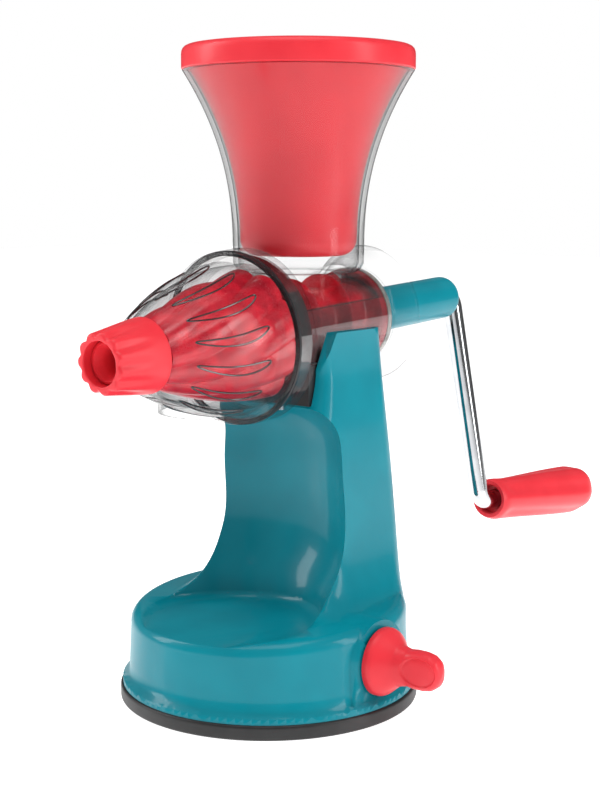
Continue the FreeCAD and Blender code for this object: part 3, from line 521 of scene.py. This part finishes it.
SLOTS, SLOT_START, SLOT_END, SLOT_HALF_WIDTH, SLOT_LEAN, RIM_THICK = 14, 38.5, 74.0, 2.3, 0.1, 0.42
rim_points = np.stack([
    bead(leaf(2 * np.pi * (k + 0.35) / SLOTS, SLOT_START, SLOT_END, SLOT_HALF_WIDTH, SLOT_LEAN),
         RIM_THICK, in_barrel)
    for k in range(SLOTS)])
rows, sides = rim_points.shape[1:3]
index = np.arange(SLOTS * rows * sides).reshape(SLOTS, rows, sides)
quads = np.stack([index, np.roll(index, -1, 2), np.roll(np.roll(index, -1, 2), -1, 1), np.roll(index, -1, 1)],
                 -1).reshape(-1, 4)
# Dark beads of painted shade along each slot's clear cut edge.
slot_edge_painted_lines = quads_mesh("slot_edge_painted_lines", rim_points.reshape(-1, 3), quads)
settle(slot_edge_painted_lines, "cone", slot="clear_plastic", finish=san_painted_edge_line)

# %% [markdown]
# ## The juice skirt
# A short upright collar under the cone keeps the juice together. Its foot is
# level, and its top follows the cone: the height where a vertical line meets
# the cone is found by going back and forth a few times until it settles.

# %% Skirt
SKIRT_RADIUS, SKIRT_WALL, SKIRT_BACK, SKIRT_FOOT = 27.0, 1.7, 37.0, 142.5
SKIRT_STEPS = 90
TILT_SINE, TILT_COSINE = -barrel_z[2], -barrel_z[1]
AXIS_HEIGHT = barrel_origin[2] / MM


def cone_underside(x, y):
    """The height at which the upright line through (x, y) meets the cone from below."""
    z = np.full_like(x, AXIS_HEIGHT - 30)
    for _ in range(25):
        height = -y * TILT_COSINE - (z - AXIS_HEIGHT) * TILT_SINE
        drop = np.sqrt(np.maximum(cone_radius(height) ** 2 - x ** 2, 1.0))
        z = AXIS_HEIGHT + (y * TILT_SINE - drop) / TILT_COSINE
    return z


sweep = np.linspace(math.radians(162), math.radians(378), SKIRT_STEPS)
wall = SKIRT_WALL * np.sin(np.linspace(0, np.pi, SKIRT_STEPS)) ** 0.15
loops = []
for radius, at_top in ((SKIRT_RADIUS + 0 * wall, False), (SKIRT_RADIUS + 0 * wall, True),
                       (SKIRT_RADIUS - wall, True), (SKIRT_RADIUS - wall, False)):
    x = radius * np.cos(sweep)
    y = -SKIRT_BACK + radius * np.sin(sweep)
    z = cone_underside(x, y) + 0.9 if at_top else np.full_like(x, SKIRT_FOOT)
    loops.append(np.stack([x, y, z], 1))
skirt = grid_mesh("juice_skirt", MM * np.stack(loops), True, False)
settle(skirt, "cone", slot="clear_plastic", finish=san_clear)

# %% [markdown]
# ## The feed screw
# One surface from the rear disc to the nose. Behind the flange the radius is a
# core with a ridge that winds round it; ahead of it, a bulging cone with folds
# that lean round it and catch the light.

# %% Feed screw
SCREW_BACK, SCREW_CONE, SCREW_NOSE = -65.3, 15.4, 81.0
DISC_RADIUS, CORE_RADIUS, RIDGE_TALL, PITCH = 23.7, 17.0, 6.3, 24.0
BIG_END, SMALL_END, SCREW_BULGE = 31.2, 15.0, 9.6
SHAFT_RECESS = -44.0


def screw_radius(height, angle):
    """Radius at a height and angle.

    Disc, then core plus a narrow periodic ridge of (angle + height / pitch),
    then a cone with nine folds; each part is blended into the next.
    """
    winding = np.mod(angle / (2 * np.pi) + height / PITCH, 1.0)
    ridge = np.exp(-((winding - 0.5) / 0.13) ** 2)
    thread = CORE_RADIUS + RIDGE_TALL * ridge
    share = np.clip((height - SCREW_CONE) / (SCREW_NOSE - SCREW_CONE), 0, 1)
    cone = BIG_END + (SMALL_END - BIG_END) * share + SCREW_BULGE * share * (1 - share)
    fold = np.abs(np.sin(4.5 * (angle + 1.1 * share)))
    cone = cone * (0.9 + 0.1 * fold ** 0.8)
    to_cone = eased((height - 10.5) / 4.0)
    from_disc = eased((height + 60.5) / 1.2)
    return (DISC_RADIUS * (1 - from_disc) + thread * from_disc) * (1 - to_cone) + cone * to_cone


screw_heights = np.concatenate([np.linspace(SCREW_BACK, -60.6, 4), np.linspace(-60.4, 10.4, 120),
                                np.linspace(10.8, SCREW_NOSE, 110)])
angles = np.linspace(0, 2 * np.pi, 216, endpoint=False)
height_grid, angle_grid = np.meshgrid(screw_heights, angles, indexing="ij")
radius_grid = screw_radius(height_grid, angle_grid)
screw_skin = np.stack([radius_grid * np.cos(angle_grid), radius_grid * np.sin(angle_grid), height_grid], -1)
ring = np.stack([np.cos(angles), np.sin(angles), 0 * angles], -1)


def rings(*corners):
    """One ring of points for each (radius, height)."""
    return np.stack([radius * ring + np.array([0, 0, height]) for radius, height in corners])


screw_grid = np.concatenate([rings((POLE, SHAFT_RECESS), (6.5, SHAFT_RECESS), (6.5, SCREW_BACK)), screw_skin,
                             rings((5.4, 80.6), (5.4, 87.8), (POLE, 87.9))])
settle(grid_mesh("feed_screw", in_barrel(screw_grid), wrap_rows=False), "crank", "auger",
       slot="red_plastic", finish=pp_red)

# %% [markdown]
# ## Crank hub and grip
# The hub is a plain teal bar with a rounded end. The grip is a tapered handle
# with soft flutes that wind slowly round it, a deep mouth for the rod and a
# full round at the far end. It is drawn on the grip's own hinge axis.

# %% Hub
HUB_START, HUB_END, HUB_RADIUS = -65.9, -150.0, 11.35
settle(turned("hub", [
    (6.6, HUB_START, 0.4), (HUB_RADIUS, HUB_START, 0.4), (HUB_RADIUS, HUB_END, 4.6), (5.3, HUB_END, 0.4)],
    in_barrel, 120, 9),
    "crank", "crank_hub", "drive_pin", "rod_pin", slot="teal_plastic", finish=abs_teal)

# %% Grip
grip_z = np.array(joints["grip_spin"]["axis"])
grip_x = np.cross(np.array([0.0, 0.0, 1.0]), grip_z)
grip_x /= np.linalg.norm(grip_x)
grip_y = np.cross(grip_z, grip_x)


def on_grip(points):
    """Local millimetres on the grip's own hinge to world metres."""
    return grip_origin + MM * (points @ np.stack([grip_x, grip_y, grip_z]))


GRIP_NEAR, GRIP_LONG, BORE_RADIUS = -8.6, 100.6, 5.3
GRIP_FAR = GRIP_NEAR - GRIP_LONG
FLUTES, FLUTE_SHARE, TWIST = 5, 0.105, 1.9
stations = np.linspace(0, 1, 60)
grip_radius = 11.7 + 2.7 * eased(stations * 1.1)
far_round = np.sqrt(np.maximum(1 - ((stations - 0.86) / 0.155) ** 2 * 0.75, 0))
near_round = np.sqrt(np.maximum(1 - ((0.05 - stations) / 0.05) ** 2 * 0.22, 0))
grip_radius *= np.where(stations > 0.86, far_round, 1)
grip_radius *= np.where(stations < 0.05, near_round, 1)
skin_heights = GRIP_NEAR - GRIP_LONG * stations
mouth = [(BORE_RADIUS, GRIP_NEAR - 6.2), (8.1, GRIP_NEAR - 6), (8.1, GRIP_NEAR - 0.8), (8.6, GRIP_NEAR - 0.2)]
tail = [(8.0, GRIP_FAR - 0.1), (7.9, GRIP_FAR + 6), (BORE_RADIUS, GRIP_FAR + 6.2)]
profile = np.array(mouth + list(zip(grip_radius, skin_heights)) + tail)
grid = turn(profile, 180)
angle = np.arctan2(grid[..., 1], grid[..., 0])
winding = FLUTES * angle + TWIST * (profile[:, 1] - GRIP_NEAR)[None] / -GRIP_LONG
weight = np.zeros(len(profile))
fade = eased(stations / 0.12) * (1 - 0.7 * eased((stations - 0.8) / 0.2))
weight[len(mouth):len(mouth) + len(stations)] = fade
press = 1 - FLUTE_SHARE * weight[None] * (0.5 - 0.5 * np.cos(winding)) ** 1.5
grid[..., :2] *= press[..., None]
settle(grid_mesh("grip", on_grip(grid)), "grip", "hand_grip", slot="red_plastic", finish=pp_coral)

# %% [markdown]
# ## The suction lever
# A round collar narrows to a neck and flattens into a thumb paddle. Each
# cross-section is an oval whose two half widths are smooth functions of the
# distance along the lever; the paddle's two faces are dished inside a border.

# %% Lever
LEVER_START, LEVER_TIP = 68.6, 101.9
DISH_MIDDLE, DISH_HALF_LONG, DISH_HALF_TALL, DISH_DEEP = 91.5, 9.2, 7.0, 0.9


def lever_surface(rows=120, columns=168):
    """Points of the lever: an oval swept outwards, closed at both ends."""
    along = np.linspace(0, 1, rows) ** 0.9
    reach = LEVER_START + (LEVER_TIP - LEVER_START) * along
    knots = np.array([68.6, 71.0, 72.6, 75.0, 79.0, 84.0, 88.0, 93.0, 97.0, 100.0, 101.3, 101.9])
    tall = np.interp(reach, knots, [15.9, 15.9, 15.0, 13.0, 9.8, 8.6, 9.0, 9.0, 8.2, 6.0, 3.6, 0.2])
    thick = np.interp(reach, knots, [15.9, 15.9, 15.0, 12.6, 8.2, 5.9, 5.5, 5.4, 5.2, 4.4, 3.0, 0.2])
    for _ in range(3):
        tall[1:-1] = (tall[:-2] + 2 * tall[1:-1] + tall[2:]) / 4
        thick[1:-1] = (thick[:-2] + 2 * thick[1:-1] + thick[2:]) / 4
    angle = np.linspace(0, 2 * np.pi, columns, endpoint=False)
    power = 1 - 0.28 * eased((reach - 79) / 9)[:, None]
    cosine, sine = np.cos(angle)[None], np.sin(angle)[None]
    z = tall[:, None] * np.sign(cosine) * np.abs(cosine) ** power
    y = thick[:, None] * np.sign(sine) * np.abs(sine) ** power
    oval = ((reach[:, None] - DISH_MIDDLE) / DISH_HALF_LONG) ** 2 + (z / DISH_HALF_TALL) ** 2
    dish = DISH_DEEP * eased((1 - oval) / 0.22)
    y = y - np.sign(y) * np.minimum(dish, np.abs(y))
    body = np.stack([reach[:, None] + 0 * z, y, z], -1)
    start, end = (np.stack([0 * angle + reach_x, 0.01 * np.sin(angle), 0.01 * np.cos(angle)], -1)
                  for reach_x in (LEVER_START, LEVER_TIP))
    return np.concatenate([start[None], body, end[None]])


lever_points = MM * (lever_surface() + np.array([0, 0, lever_origin[2] / MM]))
settle(grid_mesh("lever", lever_points, wrap_rows=False), "lever", "lever_knob",
       slot="red_plastic", finish=pp_coral)

# %% [markdown]
# ## Table and light
# A white table, and large soft lights at the left, the right and overhead.
# Clear and glossy things need something dark to reflect or they vanish, so the
# surroundings below are white cards with narrow dark gaps between them, as
# when black strips are stood beside glass.

# %% Table and lights
bpy.ops.mesh.primitive_plane_add(size=8, location=(0, 0, 0))
table = bpy.context.object
table.name = "table"
table_white, tree, shader = finish("table_white", Roughness=0.18, IOR=1.35, Base_Color=linear("#FAFAFA"),
                                   Emission_Color=linear("#FFFFFF"), Emission_Strength=0.72)
table.data.materials.append(table_white)


def softbox(name, place, target, width, height, power):
    """A rectangular area light at a place, facing a target."""
    lamp = bpy.data.lights.new(name, "AREA")
    lamp.shape = "RECTANGLE"
    lamp.size = width
    lamp.size_y = height
    lamp.energy = power
    holder = bpy.data.objects.new(name, lamp)
    bpy.context.scene.collection.objects.link(holder)
    holder.location = place
    aim = Vector(target) - Vector(place)
    holder.rotation_euler = aim.to_track_quat("-Z", "Y").to_euler()
    return holder


MIDDLE = (0, 0, 0.15)
softbox("left_box", (-1.0, -0.6, 0.75), MIDDLE, 0.35, 1.0, 7)
softbox("right_box", (1.2, 0.35, 0.6), MIDDLE, 0.3, 1.1, 7)
softbox("top_box", (0.1, -0.2, 1.4), (0, 0, 0.1), 0.9, 0.9, 7)

# %% [markdown]
# ## White cards and dark gaps
# The surroundings' brightness is a formula of direction: a cosine wave of the
# compass angle makes the cards and the gaps, and overhead it turns to one even
# level. The camera sees plain white, and shiny surfaces see it dimmed.

# %% Surroundings
CARDS, GAP_LIGHT, CARD_LIGHT, OVERHEAD_LIGHT, SHINE_DIMMING = 8.0, 0.1, 0.92, 0.75, 0.8
card_turn = math.atan2(view_direction.y, view_direction.x)
world = bpy.data.worlds.new("studio")
bpy.context.scene.world = world
world.use_nodes = True
tree = world.node_tree
backdrop = tree.nodes["Background"]
place = add(tree, "ShaderNodeTexCoord")
split = add(tree, "ShaderNodeSeparateXYZ", {}, {"Vector": place.outputs["Generated"]})
compass = add(tree, "ShaderNodeMath", {"operation": "ARCTAN2"}, {0: split.outputs["Y"], 1: split.outputs["X"]})
cards = add(tree, "ShaderNodeMath", {"operation": "MULTIPLY_ADD", 1: CARDS, 2: -CARDS * card_turn},
            {0: compass.outputs[0]})
swing = add(tree, "ShaderNodeMath", {"operation": "COSINE"}, {0: cards.outputs[0]})
panel = add(tree, "ShaderNodeMapRange",
            {"From Min": -0.85, "From Max": -0.35, "To Min": GAP_LIGHT, "To Max": CARD_LIGHT},
            {"Value": swing.outputs[0]})
level = add(tree, "ShaderNodeMapRange", {"From Min": 0.45, "From Max": 0.75}, {"Value": split.outputs["Z"]})
over = add(tree, "ShaderNodeMix", {"data_type": "FLOAT", 3: OVERHEAD_LIGHT},
           {0: level.outputs["Result"], 2: panel.outputs["Result"]})
rays = add(tree, "ShaderNodeLightPath")
gloss = add(tree, "ShaderNodeMath", {"operation": "MULTIPLY_ADD", 1: -SHINE_DIMMING, 2: 1.0},
            {0: rays.outputs["Is Glossy Ray"]})
shown = add(tree, "ShaderNodeMath", {"operation": "MULTIPLY"}, {0: over.outputs[0], 1: gloss.outputs[0]})
seen = add(tree, "ShaderNodeMath", {"operation": "MAXIMUM"},
           {0: shown.outputs[0], 1: rays.outputs["Is Camera Ray"]})
tree.links.new(seen.outputs[0], backdrop.inputs["Strength"])
backdrop.inputs["Color"].default_value = linear("#FFFFFF")
bpy.context.scene.view_settings.view_transform = "Standard"
